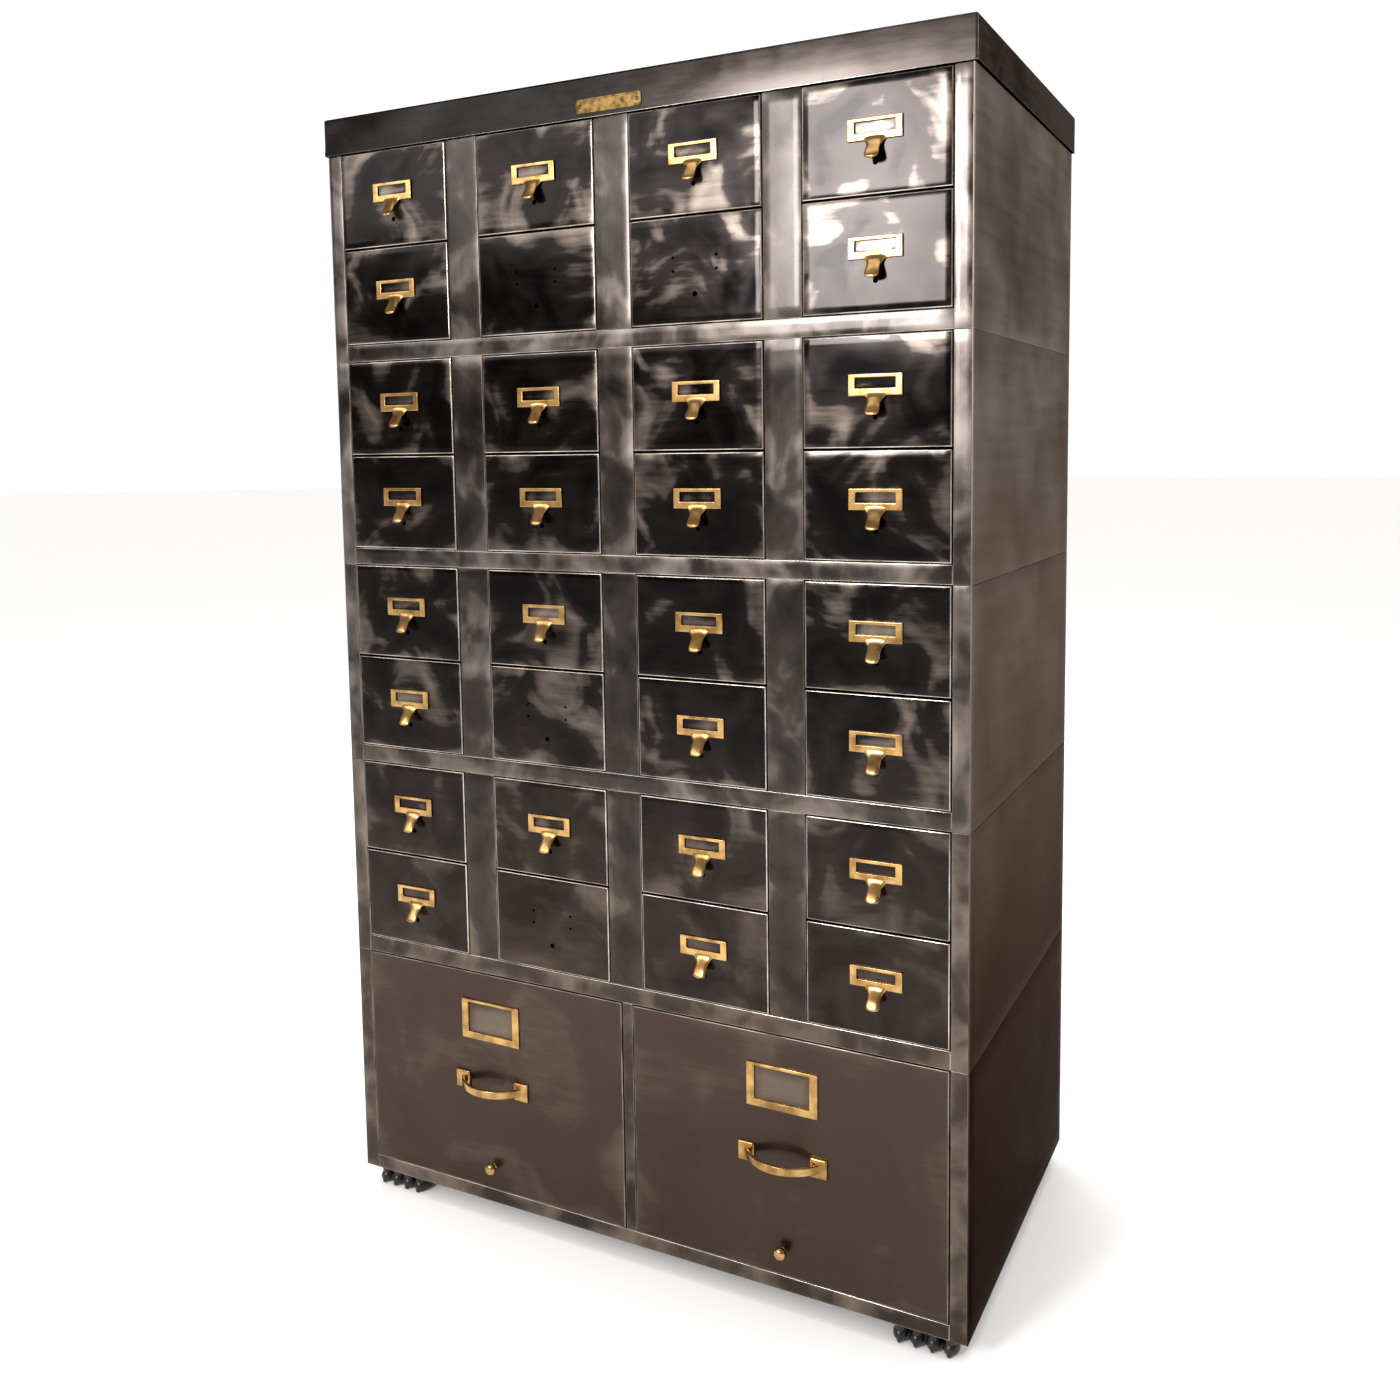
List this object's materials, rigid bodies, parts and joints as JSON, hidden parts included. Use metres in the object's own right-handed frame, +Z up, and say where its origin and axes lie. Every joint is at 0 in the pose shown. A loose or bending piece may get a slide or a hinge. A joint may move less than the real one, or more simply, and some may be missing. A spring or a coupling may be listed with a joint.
{
  "type": "card catalog cabinet",
  "caption": "Free-standing stacked steel card catalog cabinet with small card drawers above wide file drawers, brass pulls and cast paw feet.",
  "frame": {"origin": "on the floor under the middle of the bounding box, hardware included", "axes": "+Z up, drawers face and slide out along -Y, +X to the right seen from the front"},
  "size_m": [0.844, 0.502, 1.418],
  "materials": {
    "burnished_steel": "stripped, hand-burnished and clear-lacquered sheet steel, dark gunmetal with cloudy patches and bright worn edges",
    "polished_brass": "polished brass, slightly aged",
    "black_cast_iron": "black cast iron with soft highlights"
  },
  "bodies": {
    "cabinet": {"card_section_shell_1": "burnished_steel", "card_section_shell_2": "burnished_steel", "card_section_shell_3": "burnished_steel", "card_section_shell_4": "burnished_steel", "card_face_frame_1": "burnished_steel", "card_face_frame_2": "burnished_steel", "card_face_frame_3": "burnished_steel", "card_face_frame_4": "burnished_steel", "base_section_shell": "burnished_steel", "base_face_frame": "burnished_steel", "card_drawer_runners": "burnished_steel", "file_drawer_runners": "burnished_steel", "top_cap": "burnished_steel", "nameplate": "polished_brass", "paw_foot_front_left": "black_cast_iron", "paw_foot_front_right": "black_cast_iron", "paw_foot_back_left": "black_cast_iron", "paw_foot_back_right": "black_cast_iron"},
    "card_drawer_s1_r1_c1": {"card_drawer_s1_r1_c1": "burnished_steel"},
    "card_drawer_s1_r1_c2": {"card_drawer_s1_r1_c2": "burnished_steel"},
    "card_drawer_s1_r1_c3": {"card_drawer_s1_r1_c3": "burnished_steel"},
    "card_drawer_s1_r1_c4": {"card_drawer_s1_r1_c4": "burnished_steel"},
    "card_drawer_s1_r2_c1": {"card_drawer_s1_r2_c1": "burnished_steel"},
    "card_drawer_s1_r2_c2": {"card_drawer_s1_r2_c2": "burnished_steel"},
    "card_drawer_s1_r2_c3": {"card_drawer_s1_r2_c3": "burnished_steel"},
    "card_drawer_s1_r2_c4": {"card_drawer_s1_r2_c4": "burnished_steel"},
    "card_drawer_s2_r1_c1": {"card_drawer_s2_r1_c1": "burnished_steel"},
    "card_drawer_s2_r1_c2": {"card_drawer_s2_r1_c2": "burnished_steel"},
    "card_drawer_s2_r1_c3": {"card_drawer_s2_r1_c3": "burnished_steel"},
    "card_drawer_s2_r1_c4": {"card_drawer_s2_r1_c4": "burnished_steel"},
    "card_drawer_s2_r2_c1": {"card_drawer_s2_r2_c1": "burnished_steel"},
    "card_drawer_s2_r2_c2": {"card_drawer_s2_r2_c2": "burnished_steel"},
    "card_drawer_s2_r2_c3": {"card_drawer_s2_r2_c3": "burnished_steel"},
    "card_drawer_s2_r2_c4": {"card_drawer_s2_r2_c4": "burnished_steel"},
    "card_drawer_s3_r1_c1": {"card_drawer_s3_r1_c1": "burnished_steel"},
    "card_drawer_s3_r1_c2": {"card_drawer_s3_r1_c2": "burnished_steel"},
    "card_drawer_s3_r1_c3": {"card_drawer_s3_r1_c3": "burnished_steel"},
    "card_drawer_s3_r1_c4": {"card_drawer_s3_r1_c4": "burnished_steel"},
    "card_drawer_s3_r2_c1": {"card_drawer_s3_r2_c1": "burnished_steel"},
    "card_drawer_s3_r2_c2": {"card_drawer_s3_r2_c2": "burnished_steel"},
    "card_drawer_s3_r2_c3": {"card_drawer_s3_r2_c3": "burnished_steel"},
    "card_drawer_s3_r2_c4": {"card_drawer_s3_r2_c4": "burnished_steel"},
    "card_drawer_s4_r1_c1": {"card_drawer_s4_r1_c1": "burnished_steel"},
    "card_drawer_s4_r1_c2": {"card_drawer_s4_r1_c2": "burnished_steel"},
    "card_drawer_s4_r1_c3": {"card_drawer_s4_r1_c3": "burnished_steel"},
    "card_drawer_s4_r1_c4": {"card_drawer_s4_r1_c4": "burnished_steel"},
    "card_drawer_s4_r2_c1": {"card_drawer_s4_r2_c1": "burnished_steel"},
    "card_drawer_s4_r2_c2": {"card_drawer_s4_r2_c2": "burnished_steel"},
    "card_drawer_s4_r2_c3": {"card_drawer_s4_r2_c3": "burnished_steel"},
    "card_drawer_s4_r2_c4": {"card_drawer_s4_r2_c4": "burnished_steel"},
    "file_drawer_left": {"file_drawer_left": "burnished_steel", "file_label_frame_left": "polished_brass", "bow_handle_left": "polished_brass"},
    "index_rod_left": {"index_rod_left": "polished_brass"},
    "folder_follower_left": {"folder_follower_left": "burnished_steel"},
    "file_drawer_right": {"file_drawer_right": "burnished_steel", "file_label_frame_right": "polished_brass", "bow_handle_right": "polished_brass"},
    "index_rod_right": {"index_rod_right": "polished_brass"},
    "folder_follower_right": {"folder_follower_right": "burnished_steel"}
  },
  "joints": [
    {"name": "card_drawer_s1_r1_c1_slide", "type": "slide", "parent": "cabinet", "child": "card_drawer_s1_r1_c1", "axis": [0, -1, 0], "range_m": [0, 0.38]},
    {"name": "card_drawer_s1_r1_c2_slide", "type": "slide", "parent": "cabinet", "child": "card_drawer_s1_r1_c2", "axis": [0, -1, 0], "range_m": [0, 0.38]},
    {"name": "card_drawer_s1_r1_c3_slide", "type": "slide", "parent": "cabinet", "child": "card_drawer_s1_r1_c3", "axis": [0, -1, 0], "range_m": [0, 0.38]},
    {"name": "card_drawer_s1_r1_c4_slide", "type": "slide", "parent": "cabinet", "child": "card_drawer_s1_r1_c4", "axis": [0, -1, 0], "range_m": [0, 0.38]},
    {"name": "card_drawer_s1_r2_c1_slide", "type": "slide", "parent": "cabinet", "child": "card_drawer_s1_r2_c1", "axis": [0, -1, 0], "range_m": [0, 0.38]},
    {"name": "card_drawer_s1_r2_c2_slide", "type": "slide", "parent": "cabinet", "child": "card_drawer_s1_r2_c2", "axis": [0, -1, 0], "range_m": [0, 0.38]},
    {"name": "card_drawer_s1_r2_c3_slide", "type": "slide", "parent": "cabinet", "child": "card_drawer_s1_r2_c3", "axis": [0, -1, 0], "range_m": [0, 0.38]},
    {"name": "card_drawer_s1_r2_c4_slide", "type": "slide", "parent": "cabinet", "child": "card_drawer_s1_r2_c4", "axis": [0, -1, 0], "range_m": [0, 0.38]},
    {"name": "card_drawer_s2_r1_c1_slide", "type": "slide", "parent": "cabinet", "child": "card_drawer_s2_r1_c1", "axis": [0, -1, 0], "range_m": [0, 0.38]},
    {"name": "card_drawer_s2_r1_c2_slide", "type": "slide", "parent": "cabinet", "child": "card_drawer_s2_r1_c2", "axis": [0, -1, 0], "range_m": [0, 0.38]},
    {"name": "card_drawer_s2_r1_c3_slide", "type": "slide", "parent": "cabinet", "child": "card_drawer_s2_r1_c3", "axis": [0, -1, 0], "range_m": [0, 0.38]},
    {"name": "card_drawer_s2_r1_c4_slide", "type": "slide", "parent": "cabinet", "child": "card_drawer_s2_r1_c4", "axis": [0, -1, 0], "range_m": [0, 0.38]},
    {"name": "card_drawer_s2_r2_c1_slide", "type": "slide", "parent": "cabinet", "child": "card_drawer_s2_r2_c1", "axis": [0, -1, 0], "range_m": [0, 0.38]},
    {"name": "card_drawer_s2_r2_c2_slide", "type": "slide", "parent": "cabinet", "child": "card_drawer_s2_r2_c2", "axis": [0, -1, 0], "range_m": [0, 0.38]},
    {"name": "card_drawer_s2_r2_c3_slide", "type": "slide", "parent": "cabinet", "child": "card_drawer_s2_r2_c3", "axis": [0, -1, 0], "range_m": [0, 0.38]},
    {"name": "card_drawer_s2_r2_c4_slide", "type": "slide", "parent": "cabinet", "child": "card_drawer_s2_r2_c4", "axis": [0, -1, 0], "range_m": [0, 0.38]},
    {"name": "card_drawer_s3_r1_c1_slide", "type": "slide", "parent": "cabinet", "child": "card_drawer_s3_r1_c1", "axis": [0, -1, 0], "range_m": [0, 0.38]},
    {"name": "card_drawer_s3_r1_c2_slide", "type": "slide", "parent": "cabinet", "child": "card_drawer_s3_r1_c2", "axis": [0, -1, 0], "range_m": [0, 0.38]},
    {"name": "card_drawer_s3_r1_c3_slide", "type": "slide", "parent": "cabinet", "child": "card_drawer_s3_r1_c3", "axis": [0, -1, 0], "range_m": [0, 0.38]},
    {"name": "card_drawer_s3_r1_c4_slide", "type": "slide", "parent": "cabinet", "child": "card_drawer_s3_r1_c4", "axis": [0, -1, 0], "range_m": [0, 0.38]},
    {"name": "card_drawer_s3_r2_c1_slide", "type": "slide", "parent": "cabinet", "child": "card_drawer_s3_r2_c1", "axis": [0, -1, 0], "range_m": [0, 0.38]},
    {"name": "card_drawer_s3_r2_c2_slide", "type": "slide", "parent": "cabinet", "child": "card_drawer_s3_r2_c2", "axis": [0, -1, 0], "range_m": [0, 0.38]},
    {"name": "card_drawer_s3_r2_c3_slide", "type": "slide", "parent": "cabinet", "child": "card_drawer_s3_r2_c3", "axis": [0, -1, 0], "range_m": [0, 0.38]},
    {"name": "card_drawer_s3_r2_c4_slide", "type": "slide", "parent": "cabinet", "child": "card_drawer_s3_r2_c4", "axis": [0, -1, 0], "range_m": [0, 0.38]},
    {"name": "card_drawer_s4_r1_c1_slide", "type": "slide", "parent": "cabinet", "child": "card_drawer_s4_r1_c1", "axis": [0, -1, 0], "range_m": [0, 0.38]},
    {"name": "card_drawer_s4_r1_c2_slide", "type": "slide", "parent": "cabinet", "child": "card_drawer_s4_r1_c2", "axis": [0, -1, 0], "range_m": [0, 0.38]},
    {"name": "card_drawer_s4_r1_c3_slide", "type": "slide", "parent": "cabinet", "child": "card_drawer_s4_r1_c3", "axis": [0, -1, 0], "range_m": [0, 0.38]},
    {"name": "card_drawer_s4_r1_c4_slide", "type": "slide", "parent": "cabinet", "child": "card_drawer_s4_r1_c4", "axis": [0, -1, 0], "range_m": [0, 0.38]},
    {"name": "card_drawer_s4_r2_c1_slide", "type": "slide", "parent": "cabinet", "child": "card_drawer_s4_r2_c1", "axis": [0, -1, 0], "range_m": [0, 0.38]},
    {"name": "card_drawer_s4_r2_c2_slide", "type": "slide", "parent": "cabinet", "child": "card_drawer_s4_r2_c2", "axis": [0, -1, 0], "range_m": [0, 0.38]},
    {"name": "card_drawer_s4_r2_c3_slide", "type": "slide", "parent": "cabinet", "child": "card_drawer_s4_r2_c3", "axis": [0, -1, 0], "range_m": [0, 0.38]},
    {"name": "card_drawer_s4_r2_c4_slide", "type": "slide", "parent": "cabinet", "child": "card_drawer_s4_r2_c4", "axis": [0, -1, 0], "range_m": [0, 0.38]},
    {"name": "file_drawer_left_slide", "type": "slide", "parent": "cabinet", "child": "file_drawer_left", "axis": [0, -1, 0], "range_m": [0, 0.4]},
    {"name": "index_rod_left_slide", "type": "slide", "parent": "file_drawer_left", "child": "index_rod_left", "axis": [0, -1, 0], "range_m": [0, 0.38]},
    {"name": "folder_follower_left_slide", "type": "slide", "parent": "file_drawer_left", "child": "folder_follower_left", "axis": [0, -1, 0], "range_m": [0, 0.33]},
    {"name": "file_drawer_right_slide", "type": "slide", "parent": "cabinet", "child": "file_drawer_right", "axis": [0, -1, 0], "range_m": [0, 0.4]},
    {"name": "index_rod_right_slide", "type": "slide", "parent": "file_drawer_right", "child": "index_rod_right", "axis": [0, -1, 0], "range_m": [0, 0.38]},
    {"name": "folder_follower_right_slide", "type": "slide", "parent": "file_drawer_right", "child": "folder_follower_right", "axis": [0, -1, 0], "range_m": [0, 0.33]}
  ]
}
